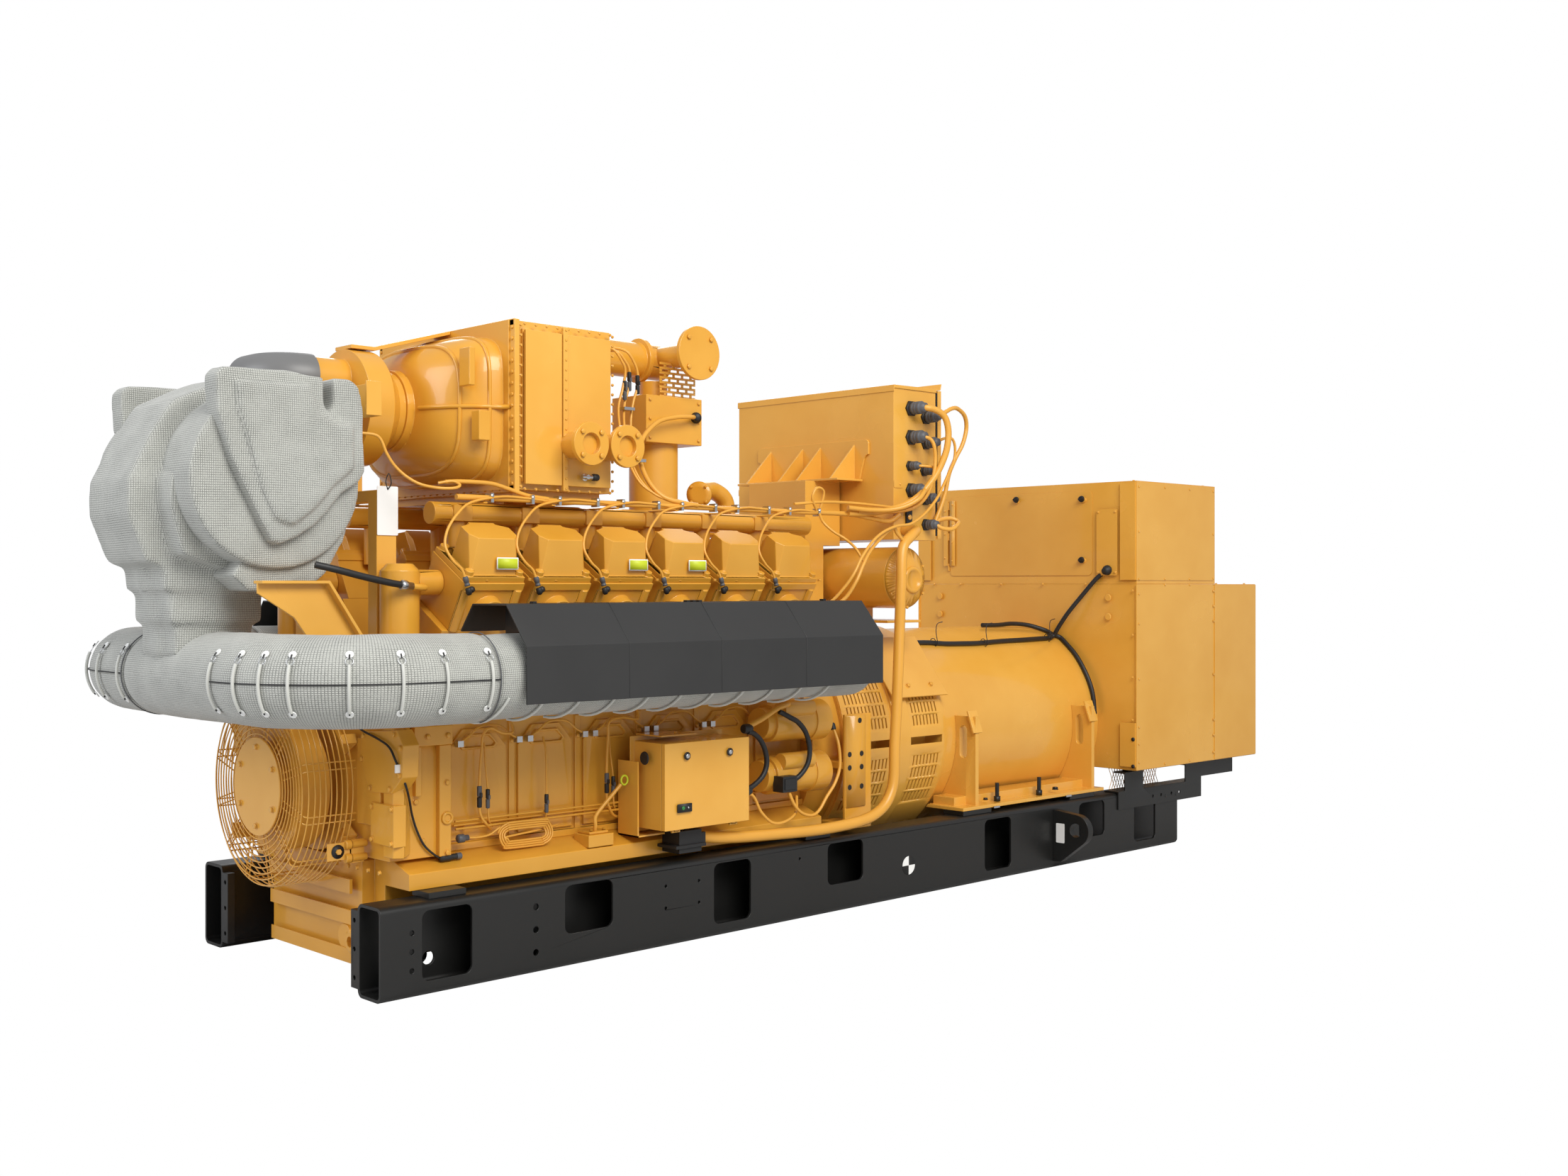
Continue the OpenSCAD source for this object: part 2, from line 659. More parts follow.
channel_flange_w = 64;
post_d = 80;
post_y = 300;
post_w = 60;
post_foot = 1150;
beam_z = 1700;
beam_h = 40;
pedestal_x = -2306;
pedestal_d = 51;
tie_w = 120;
edge_plate_t = 8;
edge_plate_y = 430;
edge_plate_z = 1990;
edge_plate_h = 120;
edge_plate_d = 60;
module turbo_support() {
    placed() color(paint) {
        both_sides() {
            translate([0, -channel_y, 0]) rotate([90, 0, 0]) linear_extrude(channel_t)
                polygon(concat(channel_top, channel_foot));
            translate([0, -channel_y + 20, 0]) rotate([90, 0, 0]) linear_extrude(channel_flange_w) channel_flange();
            translate([post_x, -post_y, post_foot + fit]) cube([post_d, post_w, beam_z + 1 - post_foot]);
            translate([turbine_x1 + fit, -edge_plate_y, edge_plate_z]) cube([edge_plate_d, edge_plate_t, edge_plate_h]);
            translate([turbine_x1 + edge_plate_d - edge_plate_t, -edge_plate_y, edge_plate_z])
                cube([edge_plate_t, edge_plate_y - channel_flange_w - fit, edge_plate_h]);
        }
        translate([post_x, -post_y, beam_z]) cube([post_d, 2 * post_y, beam_h]);
        translate([pedestal_x, -tie_w / 2, beam_z + beam_h - 1])
            cube([pedestal_d, tie_w, compressor_z - compressor_r - beam_z - beam_h + 1 - fit]);
        translate([0, tie_w / 2, tie_z + fit]) rotate([90, 0, 0]) linear_extrude(tie_w) tie_profile();
    }
}

// Rubber elbow on the compressor inlet, turned to the far side, with a band at its mouth.
elbow_r = 130;
elbow_tube_r = 88;
elbow_z = 2158;
elbow_x = -2440;
elbow_wall = 8;
elbow_cuff = 70;
elbow_mouth = 50;
module air_intake_elbow() {
    placed() color(rubber) translate([elbow_x, elbow_r, elbow_z]) difference() {
        union() {
            rotate([0, 0, 180]) rotate_extrude(angle = 90, $fn = 64) translate([elbow_r, 0]) circle(elbow_tube_r, $fn = 48);
            translate([-elbow_r, 0, 0]) rotate([-90, 0, 0]) cylinder(r = elbow_tube_r, h = elbow_cuff, $fn = 48);
        }
        translate([-elbow_r, elbow_cuff - elbow_mouth, 0]) rotate([-90, 0, 0])
            cylinder(r = elbow_tube_r - elbow_wall, h = elbow_mouth + 1, $fn = 48);
    }
}

compressor_x = -2309;
compressor_l = 100;
compressor_cone = 60;
compressor_neck_r = bell_r - 8;
shaft_z = 1880;
shaft_r = 105;
module compressor_housing() {
    placed() color(paint) {
        translate([compressor_x, 0, compressor_z]) rotate([0, 90, 0]) {
            cylinder(r = compressor_r, h = compressor_l, $fn = 64);
            translate([0, 0, compressor_l]) cylinder(r1 = compressor_r, r2 = compressor_neck_r, h = compressor_cone, $fn = 64);
            translate([0, 0, compressor_l + compressor_cone])
                cylinder(r = compressor_neck_r, h = collar_x - fit - compressor_x - compressor_l - compressor_cone, $fn = 64);
        }
        translate([elbow_x + fit, 0, elbow_z]) rotate([0, 90, 0])
            cylinder(r = elbow_tube_r - elbow_wall, h = compressor_x + 1 - elbow_x, $fn = 48);
        translate([turbine_x1 + 2, 0, shaft_z]) rotate([0, 90, 0]) cylinder(r = shaft_r, h = compressor_x - 1 - turbine_x1, $fn = 48);
    }
}

// ---------------------------------------------------------------- aftercooler

// A section of the inlet bell: a superellipse that turns from a circle into a rounded oblong.
bell_rings = 10;
bell_sides = 40;
bell_end = [cool_w / 2 - 34, cool_h / 2 - 34];
function bell_t(k) = k / (bell_rings - 1);
function bell_blend(k) = pow(sin(90 * bell_t(k)), 1.35);
function bell_half(k) = [for (j = [0, 1]) bell_r + (bell_end[j] - bell_r) * bell_blend(k)];
function bell_power(k) = 1 - 0.62 * bell_blend(k);
function signed_pow(v, e) = sign(v) * pow(abs(v), e);
function bell_ring(k, grow = 0) = [for (i = [0:bell_sides - 1])
    let (a = i * 360 / bell_sides, h = bell_half(k), e = bell_power(k))
        [signed_pow(cos(a), e) * (h[0] + grow), signed_pow(sin(a), e) * (h[1] + grow)]];
function bell_x(k) = collar_x + 30 + (bell_x1 - collar_x - 30) * (1 - cos(90 * bell_t(k)));

module bell_skin() {
    points = [for (k = [0:bell_rings - 1], p = bell_ring(k)) [bell_x(k), p[0], cool_mid_z - 10 + p[1]]];
    n = bell_sides;
    walls = [for (k = [0:bell_rings - 2], i = [0:n - 1])
        [k * n + i, (k + 1) * n + i, (k + 1) * n + (i + 1) % n, k * n + (i + 1) % n]];
    front = [for (i = [0:n - 1]) i];
    back = [for (i = [n - 1:-1:0]) (bell_rings - 1) * n + i];
    polyhedron(points, concat(walls, [front], [back]), convexity = 4);
}

module aftercooler_inlet() {
    placed() color(paint) {
        translate([collar_x, 0, cool_mid_z - 10]) rotate([0, 90, 0]) cylinder(r = bell_r, h = 31, $fn = 64);
        bell_skin();
        translate([bell_x1, -cool_w / 2, cool_z]) cube([24 - fit, cool_w, cool_h]);
    }
}

leg_y = 62;
leg_w = [80, 60];
leg_x = [60, 330];
core_rim = 30;
core_t = 12;
core_rib = 24;
core_step = 36;
flange_neck_r = 52;
flange_neck_l = 128;
pipe_flange_t = 20;
flange_bore_r = 40;
flange_bore_l = 88;
module aftercooler_core() {
    placed() color(paint) difference() {
        union() {
            translate([cool_x0, -cool_w / 2, cool_z]) cube([cool_l, cool_w, cool_h]);
            translate([cool_x0 + 20, -cool_w / 2 + 40, cool_z - core_step]) cube([cool_l - 40, cool_w - 80, core_step + 1]);
            both_sides() {
                translate([cool_x0 + core_rim, -cool_w / 2 - core_t, cool_z + core_rim])
                    cube([cool_l - 2 * core_rim, core_t + 1, cool_h - 2 * core_rim]);
                translate([cool_x0 + (cool_l - core_rib) / 2, -cool_w / 2 - 2 * core_t - 2, cool_z + core_rim])
                    cube([core_rib, core_t + 3, cool_h - 2 * core_rim]);
                for (x = leg_x) translate([cool_x0 + x, -leg_y - leg_w[1] / 2 - 6, valley_z + fit])
                    cube([leg_w[0], leg_w[1], cool_z - valley_z - core_step]);
            }
        }
        for (x = flange_x) translate([x, -cool_w / 2 - core_t, flange_z]) rotate([90, 0, 0])
            cylinder(r = flange_neck_r + fit, h = core_rim, $fn = 64);
    }
}

module water_flanges() {
    placed() color(paint) for (x = flange_x) translate([x, -cool_w / 2 - core_t - fit, flange_z]) rotate([90, 0, 0]) difference() {
        union() {
            cylinder(r = flange_neck_r, h = flange_neck_l, $fn = 64);
            translate([0, 0, flange_neck_l]) cylinder(r = flange_r, h = pipe_flange_t, $fn = 64);
        }
        translate([0, 0, flange_neck_l + pipe_flange_t - flange_bore_l]) cylinder(r = flange_bore_r, h = flange_bore_l + 1, $fn = 64);
    }
}

mix_x = -800;
mix_y = -280;
mix_z = 2382;
mix_flange_r = 114;
mix_branch_r = 50;
mix_pipe_r = 76;
mix_pipe_z = mix_z - 12;
mix_pipe_path = [[cool_x0 + cool_l + fit, 0, 2150], [-1270, 0, 2150], [-1190, 0, mix_pipe_z], [-760, 0, mix_pipe_z]];
mix_joint_r = 96;
module mixture_inlet() {
    placed() color(paint) {
        translate([mix_x, mix_y, mix_z]) rotate([90, 0, 0]) cylinder(r = mix_flange_r, h = pipe_flange_t, $fn = 64);
        translate([mix_x, mix_y - 1, mix_z]) rotate([-90, 0, 0]) cylinder(r = mix_branch_r, h = 1 - mix_y, $fn = 48);
        pipe_run(mix_pipe_path, mix_pipe_r);
        translate([mix_x - 100, 0, mix_pipe_z]) rotate([0, 90, 0]) cylinder(r = mix_joint_r, h = 22, $fn = 48);
    }
}

// Gas valve: a square body on a stepped column that stands in the valley.
valve_x = -855;
valve_y = -60;
valve_z = 2000;
valve_size = [310, 230, 200];
valve_stem_r = 64;
valve_stem_h = 300;
valve_body_r = 105;
valve_neck_r = 60;
module gas_valve_box() {
    placed() color(paint) {
        translate([valve_x - valve_size[0] / 2, valve_y - 140, valve_z]) cube(valve_size);
        translate([valve_x, valve_y + 30, valley_z + fit]) cylinder(r = valve_stem_r, h = valve_stem_h, $fn = 64);
        translate([valve_x, valve_y, valley_z + valve_stem_h - 10])
            cylinder(r = valve_body_r, h = valve_z + 1 - valley_z - valve_stem_h + 10, $fn = 64);
        translate([valve_x, valve_y, valve_z + valve_size[2] - 1])
            cylinder(r = valve_neck_r, h = mix_pipe_z - mix_joint_r - fit - valve_z - valve_size[2] + 1, $fn = 48);
    }
}

manifold_y = 300;
harness_y = -480;
harness_z = 1716;
harness_r = 14;
manifold_z = 1665;
manifold_r = 42;
riser_foot = 1480;
branch_block = [80, 50, 60];
hanger_w = 18;
hanger_t = 6;
module coolant_manifolds() {
    placed() color(paint) both_sides() difference() {
        union() {
            translate([block_x0 + 40, -manifold_y, manifold_z]) rotate([0, 90, 0]) cylinder(r = manifold_r, h = block_l + 120, $fn = 48);
            for (x = cyl_x) {
                translate([x, -manifold_y, riser_foot]) cylinder(r = manifold_r - 8, h = manifold_z - riser_foot, $fn = 32);
                translate([x - branch_block[0] / 2, -manifold_y - branch_block[1], manifold_z - branch_block[2] / 2])
                    cube(branch_block);
                translate([x - hanger_w / 2, harness_y - harness_r - 2, harness_z - harness_r - hanger_t])
                    cube([hanger_w, -harness_y - manifold_y, hanger_t]);
            }
        }
        mirror([0, 1, 0]) bank_row() translate([-bore_pitch / 2, -head_half - 8 - fit, deck_w])
            cube([bore_pitch, 2 * head_half + 16 + fit, head_h + cover_flange + fit]);
        mirror([0, 1, 0]) bank_row() translate([-bore_pitch / 2, -cover_w / 2 - fit, joint_w]) cube([bore_pitch, cover_w, cover_h + fit]);
    }
}

// Thermostat housings: a column with a sloping shoulder and a branch to the manifold on each side.
thermostat_x = -2290;
thermostat_y = 380;
thermostat_z = 1150;
thermostat_h = 300;
thermostat_r = 70;
branch_z = 1409;
branch_r = 46;
branch_l = 155;
module front_pipework() {
    placed() color(paint) both_sides() translate([thermostat_x, -thermostat_y, 0]) {
        translate([0, 0, thermostat_z + fit]) cylinder(r = thermostat_r, h = thermostat_h - fit, $fn = 48);
        translate([0, 0, thermostat_z + thermostat_h]) cylinder(r1 = thermostat_r, r2 = branch_r, h = 26, $fn = 48);
        translate([0, 0, branch_z]) rotate([0, 90, 0]) cylinder(r = branch_r, h = branch_l, $fn = 48);
    }
}

// ---------------------------------------------------------------- rear of the engine

hood_sheet = 4;
module control_cabinet() {
    placed() color(paint) {
        translate([cab_x0, -cab_w / 2, cab_z0]) cube([cab_d, cab_w, cab_h - 14]);
        translate([0, cab_w / 2 + 6, 0]) rotate([90, 0, 0]) linear_extrude(cab_w + 12) polygon([
            [cab_x0 - hood_sheet, cab_z0 + cab_h - 30], [cab_x0 - hood_sheet, cab_z0 + cab_h],
            [cab_x0 + cab_d + 26, cab_z0 + cab_h + 4], [cab_x0 + cab_d + 34, cab_z0 + cab_h + 30],
            [cab_x0 + cab_d + 38, cab_z0 + cab_h + 29], [cab_x0 + cab_d + 30, cab_z0 + cab_h],
            [cab_x0 + cab_d, cab_z0 + cab_h - 4], [cab_x0 + cab_d, cab_z0 + cab_h - 15],
            [cab_x0, cab_z0 + cab_h - 15], [cab_x0, cab_z0 + cab_h - 30]]);
    }
}

// Bracket on the cabinet's front: a plate with a round ear on each side, a ledge, gussets and a pedestal.
ledge_z = 1880;
ledge_reach = 180;
ledge_half = 372;
plate_t = 10;
plate_h = 194;
ear_drop = 70;
ear_notch_r = [30, 60];
plate_corner_r = 20;
plate_gusset_y = [-280, -60, 60, 280];
plinth_w = 380;
plinth_cap_w = 420;
plinth_cap_h = 60;
plinth_cap_z = crank_z + 500;
plinth_x = [-250, -120];
module bracket_plate() {
    difference() {
        translate([-ledge_half, 0]) rounded_rect(2 * ledge_half, plate_h, plate_corner_r);
        for (side = [-1, 1]) hull() {
            translate([side * ledge_half, plate_h - ear_drop - ear_notch_r[0]]) circle(ear_notch_r[0], $fn = 48);
            translate([side * ledge_half, -10]) circle(ear_notch_r[1], $fn = 48);
        }
    }
}

module cabinet_bracket() {
    placed() color(paint) difference() {
        union() {
            translate([cab_x0 - plate_t - fit, 0, ledge_z]) rotate([90, 0, 90]) linear_extrude(plate_t) bracket_plate();
            translate([cab_x0 - ledge_reach, -ledge_half + 36, ledge_z]) cube([ledge_reach - plate_t - fit + 1, 2 * ledge_half - 72, plate_t]);
            for (y = plate_gusset_y) translate([0, y + plate_t / 2, ledge_z + plate_t - 1]) rotate([90, 0, 0])
                linear_extrude(plate_t) polygon([[cab_x0 - ledge_reach + 8, 0], [cab_x0 - plate_t, 0], [cab_x0 - plate_t, plate_h - 30]]);
            translate([cab_x0 + plinth_x[0] + 10, -plinth_w / 2, crank_z + ring_r + 10])
                cube([plinth_x[1] - plinth_x[0] - 10, plinth_w, ledge_z + 1 - crank_z - ring_r - 10]);
            translate([cab_x0 + plinth_x[1] - 1, -plinth_w / 2, crossover_z + crossover_r + 10])
                cube([1 - plinth_x[1] - plate_t, plinth_w, ledge_z + 1 - crossover_z - crossover_r - 10]);
            translate([cab_x0 + plinth_x[0], -plinth_cap_w / 2, plinth_cap_z])
                cube([plinth_x[1] - plinth_x[0], plinth_cap_w, plinth_cap_h]);
        }
        translate([guard_a_x0 - 1, 0, crank_z]) rotate([0, 90, 0])
            cylinder(r = adapter_r + guard_shell + fit, h = band_a[1] - guard_a_x0 + 2, $fn = 128);
    }
}

tray_z = crank_z + ring_r + 2;
tray_t = 12;
tray_size = [234, 1040];
tray_x0 = crossover_x - 74;
crossover_half = 560;
crossover_cap_r = 70;
crossover_cap_l = 40;
saddle = [140, 90, 100];
saddle_y = 300;
tray_leg = 60;
tray_leg_drop = 110;
module water_crossover() {
    placed() color(paint) {
        translate([crossover_x, crossover_half, crossover_z]) rotate([90, 0, 0])
            cylinder(r = crossover_r, h = 2 * crossover_half, $fn = 64);
        both_sides() {
            translate([crossover_x, -crossover_half + 1, crossover_z]) rotate([90, 0, 0])
                cylinder(r1 = crossover_r, r2 = crossover_cap_r, h = crossover_cap_l, $fn = 64);
            translate([crossover_x - saddle[0] / 2, -saddle_y, tray_z + tray_t - 1]) cube(saddle);
            difference() {
                translate([crossover_x - tray_leg / 2, -saddle_y, tray_z - tray_leg_drop])
                    cube([tray_leg, tray_leg, tray_leg_drop + 1]);
                translate([crossover_x - tray_leg, 0, crank_z]) rotate([0, 90, 0])
                    cylinder(r = ring_r + fit, h = 2 * tray_leg, $fn = 128);
            }
        }
        translate([tray_x0, -tray_size[1] / 2, tray_z]) cube([tray_size[0], tray_size[1], tray_t]);
    }
}

fly_x0 = block_x1;
fly_r = 505;
fly_top = [660, 130];
fly_top_z = 1100;
side_plate = [168, 14, 500];
side_plate_x = -245;
side_plate_y = 620;
side_plate_z = 337;
side_ledge = [97 - fit, 130, 30];
side_ledge_z = [337, 600];
module flywheel_housing() {
    placed() color(paint) {
        translate([fly_x0, 0, crank_z]) rotate([0, 90, 0]) cylinder(r = fly_r, h = guard_a_x0 - fly_x0, $fn = 128);
        translate([fly_x0, -fly_top[0] / 2, fly_top_z]) cube([guard_a_x0 - fly_x0, fly_top[0], fly_top[1]]);
        both_sides() {
            translate([side_plate_x, -side_plate_y, side_plate_z]) cube(side_plate);
            for (k = [0, 1]) translate([side_plate_x, -side_plate_y + side_plate[1] - 1, side_ledge_z[k]])
                cube([side_ledge[0], side_ledge[1] + 30 * k, side_ledge[2]]);
        }
    }
}

starter_r = 80;
starter_nose_r = 88;
starter_nose_l = 90;
starter_body_l = 230;
starter_cap_r = 66;
starter_cap_l = 40;
solenoid_r = 36;
solenoid_l = 180;
starter_z = [600, 820];
module starter() {
    rotate([0, 90, 0]) {
        cylinder(r = starter_nose_r, h = starter_nose_l, $fn = 48);
        translate([0, 0, -starter_body_l]) cylinder(r = starter_r, h = starter_body_l + 1, $fn = 48);
        translate([0, 0, -starter_body_l - starter_cap_l]) cylinder(r = starter_cap_r, h = starter_cap_l + 1, $fn = 48);
    }
    translate([-solenoid_l - 20, -60, 60]) rotate([0, 90, 0]) cylinder(r = solenoid_r, h = solenoid_l, $fn = 32);
}

module starter_motors() {
    placed() color(paint) for (z = starter_z) translate([fly_x0 - starter_nose_l - fit, -skirt_y - 112, z]) starter();
}

// Slots in the guard bands, in columns along the set and rows above and below the joint bars.
slot_pitch = 24;
slot_w = 8;
slot_l = 46;
slot_rows = 4;
module band_slots(band) {
    n = floor((band[1] - band[0] - 40) / slot_pitch);
    x0 = (band[0] + band[1] - (n - 1) * slot_pitch) / 2;
    for (i = [0:n - 1], row = [0:slot_rows - 1], side = [-1, 1])
        translate([x0 + i * slot_pitch - slot_w / 2, -adapter_r - 40, side * (92 + row * (slot_l + 12)) - slot_l / 2])
            cube([slot_w, 2 * adapter_r + 80, slot_l]);
}

joint_gap = 34;
module guard_band(band) {
    difference() {
        translate([band[0], 0, 0]) rotate([0, 90, 0]) difference() {
            cylinder(r = adapter_r + guard_shell, h = band[1] - band[0], $fn = 128);
            translate([0, 0, -1]) cylinder(r = adapter_r, h = band[1] - band[0] + 2, $fn = 128);
        }
        band_slots(band);
        translate([band[0] + 16, -adapter_r - 40, -joint_gap / 2]) cube([band[1] - band[0] - 32, 2 * adapter_r + 80, joint_gap]);
    }
}

module alternator_adapter() {
    placed() color(paint) translate([0, 0, crank_z]) {
        guard_band(band_a);
        guard_band(band_b);
        rotate([0, 90, 0]) {
            translate([0, 0, guard_a_x0 + fit]) cylinder(r = 420, h = alt_x0 - guard_a_x0 - 2 * fit, $fn = 96);
            translate([0, 0, band_a[1]]) cylinder(r = ring_r, h = band_b[0] - band_a[1], $fn = 128);
            translate([0, 0, guard_a_x0 + fit]) cylinder(r = adapter_r + 1, h = 14, $fn = 128);
            translate([0, 0, alt_x0 - 14]) cylinder(r = adapter_r + 1, h = 14 - fit, $fn = 128);
        }
    }
}

cover_plate_l = 385;
cover_plate_w = 340;
cover_plate_tilt = 52;
module alternator_frame() {
    placed() color(paint) {
        translate([alt_x0, 0, crank_z]) rotate([0, 90, 0]) cylinder(r = alt_r, h = alt_l - fit, $fn = 128);
        translate([alt_x0, 0, crank_z]) rotate([0, 90, 0]) cylinder(r = alt_r + 16, h = 30, $fn = 128);
        both_sides() translate([alt_x0 + 16 - cover_plate_l, 0, crank_z]) rotate([cover_plate_tilt, 0, 0])
            translate([0, -cover_plate_w / 2, ring_r + fit]) cube([cover_plate_l, cover_plate_w, 8]);
    }
}

foot_x = [535, 1669];
foot_z = rail_h + pad_h;
gusset_x = [650, 1590];
gusset_t = 24;
gusset_h = 420;
gusset_w = 220;
gusset_slot_r = 22;
gusset_slot_z = [600, 710];
gusset_slot_y = 545;
foot_edge_y = 640;
foot_w = 230;
foot_t = 16;
foot_bar = [30, 560, 130, 40];
module alternator_feet() {
    placed() color(paint) both_sides() difference() {
        union() {
            translate([foot_x[0], -foot_edge_y, foot_z]) cube([foot_x[1] - foot_x[0], foot_w, foot_t]);
            translate([foot_x[0] + foot_bar[0], -foot_bar[1], foot_z + foot_t - 1])
                cube([foot_x[1] - foot_x[0] - 2 * foot_bar[0], foot_bar[2], foot_bar[3]]);
            for (x = gusset_x) difference() {
                union() {
                    translate([x, -foot_edge_y + 20, foot_z + foot_t - 1]) cube([gusset_t, gusset_w, gusset_h]);
                    translate([x - 22, -foot_edge_y + 12, foot_z + gusset_h - 60]) rotate([-20, 0, 0])
                        cube([gusset_t + 44, 10, 110]);
                }
                for (z = gusset_slot_z) translate([x - 1, -gusset_slot_y, z]) rotate([0, 90, 0])
                    cylinder(r = gusset_slot_r, h = gusset_t + 2, $fn = 32);
                translate([x - 1, -gusset_slot_y - gusset_slot_r, gusset_slot_z[0]])
                    cube([gusset_t + 2, 2 * gusset_slot_r, gusset_slot_z[1] - gusset_slot_z[0]]);
            }
        }
        translate([alt_x0 + 10, 0, crank_z]) rotate([0, 90, 0]) cylinder(r = alt_r + fit, h = alt_l, $fn = 128);
        translate([alt_x0 - 20, 0, crank_z]) rotate([0, 90, 0]) cylinder(r = adapter_r + guard_shell + fit, h = 52, $fn = 128);
    }
}

// ---------------------------------------------------------------- terminal box

box_y = box_w / 2;
box_x1 = box_x0 + box_upper_l;
box_x2 = box_x1 + box_ext_l;
door_open_y = [-440, 490];
door_open_z = [1470, 1880];
module box_shell(x0, x1, y, z0, z1) {
    translate([x0, -y, z0]) cube([x1 - x0, 2 * y, z1 - z0]);
}

// The lower box is open under the upper one, which stands on its rim.
seam_z = box_seam - 16;
seam_strip = [3, 4];
module lower_box() {
    difference() {
        union() {
            box_shell(box_x0, box_x2, box_y, box_bottom, seam_z);
            box_shell(box_x0, box_x1, box_y + seam_strip[0], seam_z - seam_strip[1], seam_z);
        }
        box_shell(box_x0 + box_t, box_x2 - box_t, box_y - box_t, box_bottom + box_t, seam_z - box_t);
        box_shell(box_x0 + box_t, box_x1 - box_t, box_y - box_t, seam_z - box_t - 1, seam_z + 1);
    }
}

module upper_box() {
    difference() {
        box_shell(box_x0, box_x1, box_y, seam_z + fit, box_top);
        box_shell(box_x0 + box_t, box_x1 - box_t, box_y - box_t, seam_z, box_top - box_t);
        translate([box_x0 - 1, door_open_y[0], door_open_z[0]])
            cube([box_t + 2, door_open_y[1] - door_open_y[0], door_open_z[1] - door_open_z[0]]);
    }
    for (z = box_hinge_z) translate([box_x0 - hinge_off, door_y1 + hinge_off, z]) box_knuckle();
}

module terminal_box() {
    placed() color(paint) {
        lower_box();
        upper_box();
    }
}

// Hinges: a fixed pin between two ears on the box, and a bored knuckle on the door.
pin_r = 3;
ear_r = 6;
ear_l = 10;
knuckle_l = 20;
hinge_off = 7;
box_hinge_z = [1500, 1674, 1848];
module box_knuckle() {
    cylinder(r = pin_r, h = knuckle_l + 2, center = true, $fn = 24);
    for (z = [-1, 1]) translate([0, 0, z * (knuckle_l + ear_l + 1) / 2]) {
        cylinder(r = ear_r, h = ear_l, center = true, $fn = 32);
        translate([0, 1, -ear_l / 2]) cube([hinge_off + 1, 5, ear_l]);
    }
}

module door_knuckle() {
    difference() {
        union() {
            cylinder(r = ear_r, h = knuckle_l, center = true, $fn = 32);
            translate([3, -hinge_off - 10, -knuckle_l / 2]) cube([3, hinge_off + 10, knuckle_l]);
        }
        cylinder(r = pin_r + fit, h = knuckle_l + 2, center = true, $fn = 24);
    }
}

door_y0 = -464;
door_y1 = 508;
door_z0 = 1450;
door_z1 = 1898;
panel_t = 3;
module terminal_door() {
    placed() color(paint) translate([box_x0 - panel_t - 1, 0, 0]) {
        rotate([90, 0, 90]) linear_extrude(panel_t) translate([door_y0, door_z0])
            rounded_rect(door_y1 - door_y0, door_z1 - door_z0, 26);
    }
    placed() color(paint) for (z = box_hinge_z) translate([box_x0 - hinge_off, door_y1 + hinge_off, z]) door_knuckle();
    placed() color(rubber) for (p = [[-415, 1850], [30, 1858], [-412, 1529]]) translate([box_x0 - panel_t - 1, p[0], p[1]])
        rotate([0, -90, 0]) cylinder(r = 13, h = 9, $fn = 32);
}

// ---------------------------------------------------------------- junction box and cables

jbox_t = 3;
jdoor_t = 20;
jbox_back = -jbox_y + jbox_d;
jbody_front = -jbox_y + jdoor_t + 1;
jhinge_y = jbody_front - 0.5;
jhinge_z = jbox_z0 - hinge_off;
jbox_hinge_x = [jbox_x0 + 70, jbox_x0 + jbox_w - 70];
jplate_rim = 20;
jplate_t = 6;
jpad = [80, 40];
module jbox_knuckle() {
    cylinder(r = pin_r, h = knuckle_l + 2, center = true, $fn = 24);
    for (z = [-1, 1]) translate([0, 0, z * (knuckle_l + ear_l + 1) / 2]) {
        cylinder(r = ear_r, h = ear_l, center = true, $fn = 32);
        translate([-hinge_off - 1, 1, -ear_l / 2]) cube([hinge_off + 1, 5, ear_l]);
    }
}

module jdoor_knuckle() {
    difference() {
        union() {
            cylinder(r = ear_r, h = knuckle_l, center = true, $fn = 32);
            translate([-hinge_off - 1, -7, -knuckle_l / 2]) cube([hinge_off + 1, 5, knuckle_l]);
        }
        cylinder(r = pin_r + fit, h = knuckle_l + 2, center = true, $fn = 24);
    }
}

module junction_box() {
    placed() color(paint) {
        difference() {
            translate([jbox_x0, jbody_front, jbox_z0]) cube([jbox_w, jbox_back - jbody_front, jbox_h]);
            translate([jbox_x0 + jbox_t, jbody_front - 1, jbox_z0 + jbox_t])
                cube([jbox_w - 2 * jbox_t, jbox_back - jbody_front - jbox_t + 1, jbox_h - 2 * jbox_t]);
        }
        for (x = jbox_hinge_x) translate([x, jhinge_y, jhinge_z]) rotate([0, 90, 0]) jbox_knuckle();
        translate([jbox_x0 - jplate_rim, jbox_back, jbox_z0 - jplate_rim])
            cube([jbox_w + 2 * jplate_rim, jplate_t, jbox_h + 2 * jplate_rim]);
        for (x = [jbox_x0 + jpad[1], jbox_x0 + jbox_w - jpad[0] - jpad[1]])
            translate([x, jbox_back + jplate_t - 1, jbox_z0 + jpad[1]])
                cube([jpad[0], -door_y - door_t - fit - jbox_back - jplate_t + 1, jpad[1]]);
    }
}

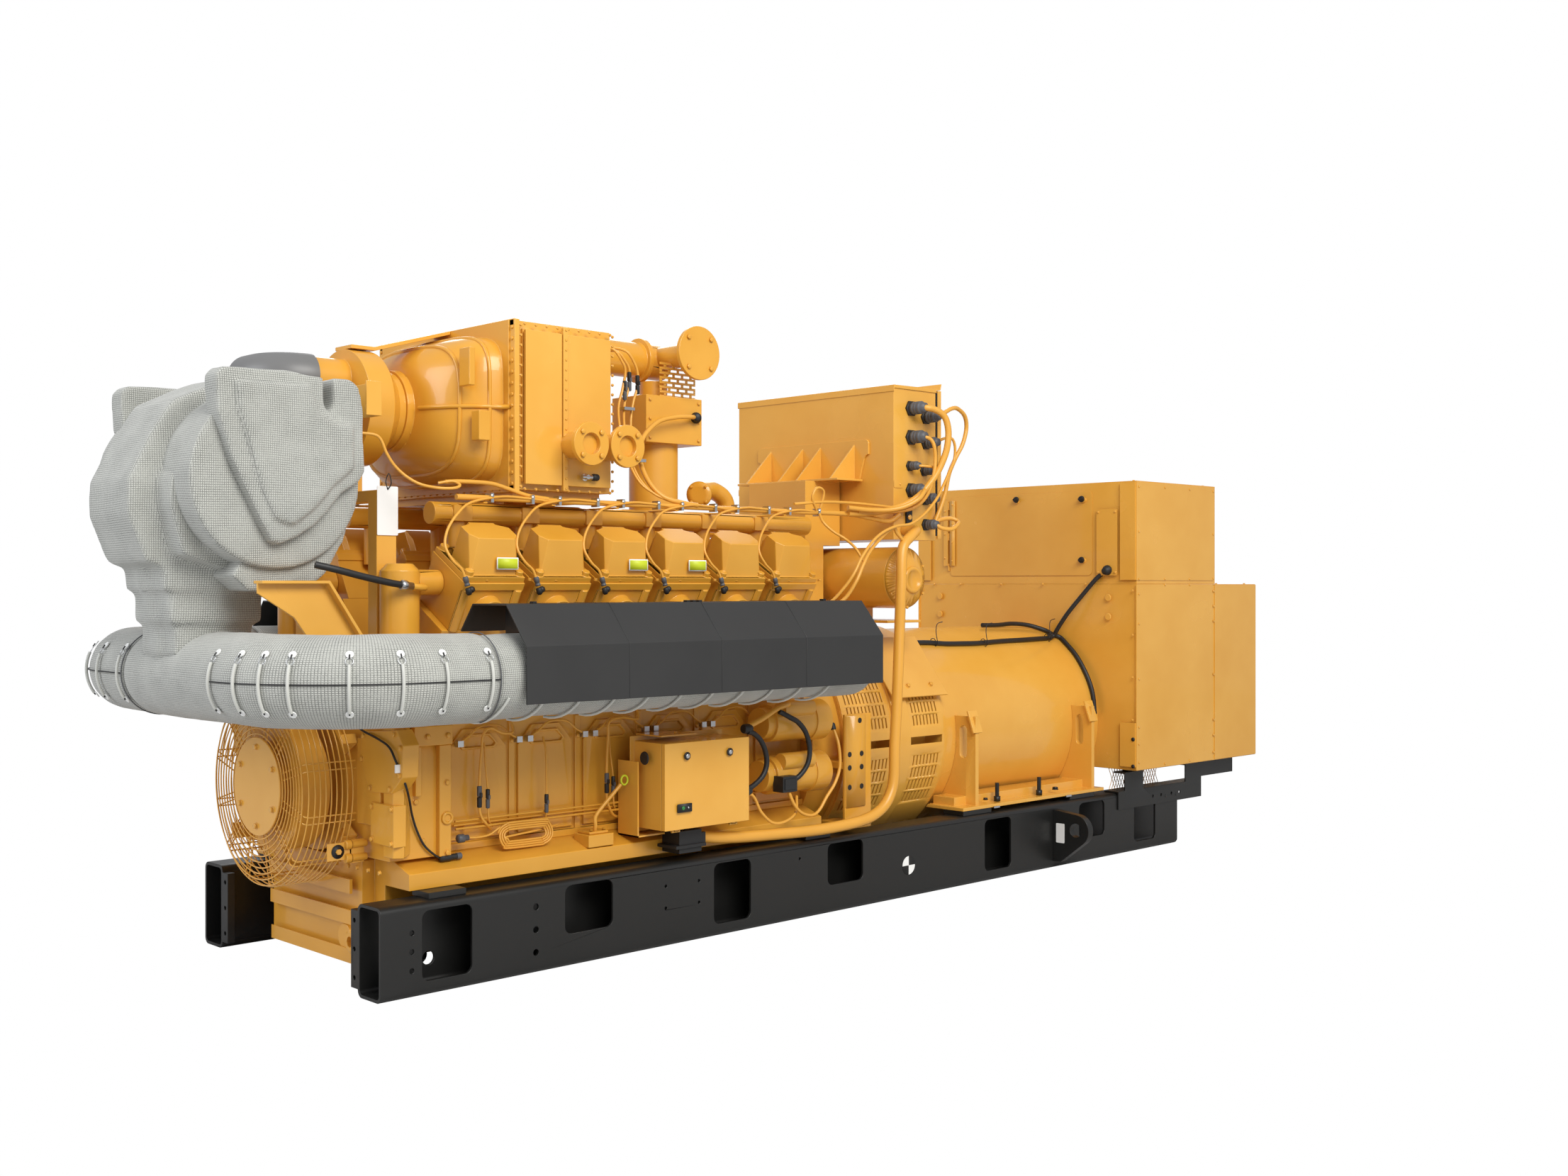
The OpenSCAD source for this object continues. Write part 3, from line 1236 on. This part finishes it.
module junction_door() {
    placed() color(paint) difference() {
        translate([jbox_x0, -jbox_y, jbox_z0]) cube([jbox_w, jdoor_t, jbox_h]);
        translate([jbox_x0 + jbox_t, -jbox_y + jbox_t, jbox_z0 + jbox_t])
            cube([jbox_w - 2 * jbox_t, jdoor_t, jbox_h - 2 * jbox_t]);
    }
    placed() color(paint) for (x = jbox_hinge_x) translate([x, jhinge_y, jhinge_z]) rotate([0, 90, 0]) jdoor_knuckle();
    placed() color("silver") for (x = [110, jbox_w - 100]) translate([jbox_x0 + x, -jbox_y, jbox_z0 + jbox_h - 55])
        rotate([90, 0, 0]) cylinder(r = 11, h = 7, $fn = 32);
}

conduit_r = 24;
conduit_route = smooth_route([[-1160, -620, 425], [-1000, -640, 390], [-700, -650, 372], [-400, -690, 372],
    [-150, -700, 400], [-30, -700, 500], [0, -690, 700], [30, -680, 950], [60, -665, 1200],
    [76, -660, 1400], [100, -648, 1560], [170, -636, 1620],
    [240, -604, 1645], [252, -570, 1650], [252, -cab_w / 2 - 4 * fit, 1650]], 4);
module power_conduit() {
    placed() color(paint) cable(conduit_route, conduit_r, 10);
}

harness_route = smooth_route([[-2120, harness_y, harness_z], [-1700, harness_y, harness_z],
    [-1200, harness_y, harness_z], [-500, harness_y, harness_z], [-100, harness_y - 10, harness_z],
    [60, -500, 1700], [150, -522, 1690], [200, -544, 1720]], 4);
module engine_harness() {
    placed() color(paint) both_sides() cable(harness_route, harness_r, 8);
}

rail_near();
rail_far();
lifting_lugs();
engine_mount_pads();
box_support_brackets();
oil_pan();
crankcase();
crankcase_doors();
front_housing();
damper_guard();
crank_damper();
cylinder_heads_near();
cylinder_heads_far();
rocker_covers_near();
rocker_covers_far();
exhaust_wrap_near();
exhaust_wrap_far();
exhaust_wrap_front();
turbo_wrap();
heat_shield_near();
heat_shield_far();
turbo_support();
air_intake_elbow();
compressor_housing();
aftercooler_inlet();
aftercooler_core();
water_flanges();
mixture_inlet();
gas_valve_box();
coolant_manifolds();
front_pipework();
control_cabinet();
cabinet_bracket();
water_crossover();
flywheel_housing();
starter_motors();
alternator_adapter();
alternator_frame();
alternator_feet();
terminal_box();
terminal_door();
junction_box();
junction_door();
power_conduit();
engine_harness();
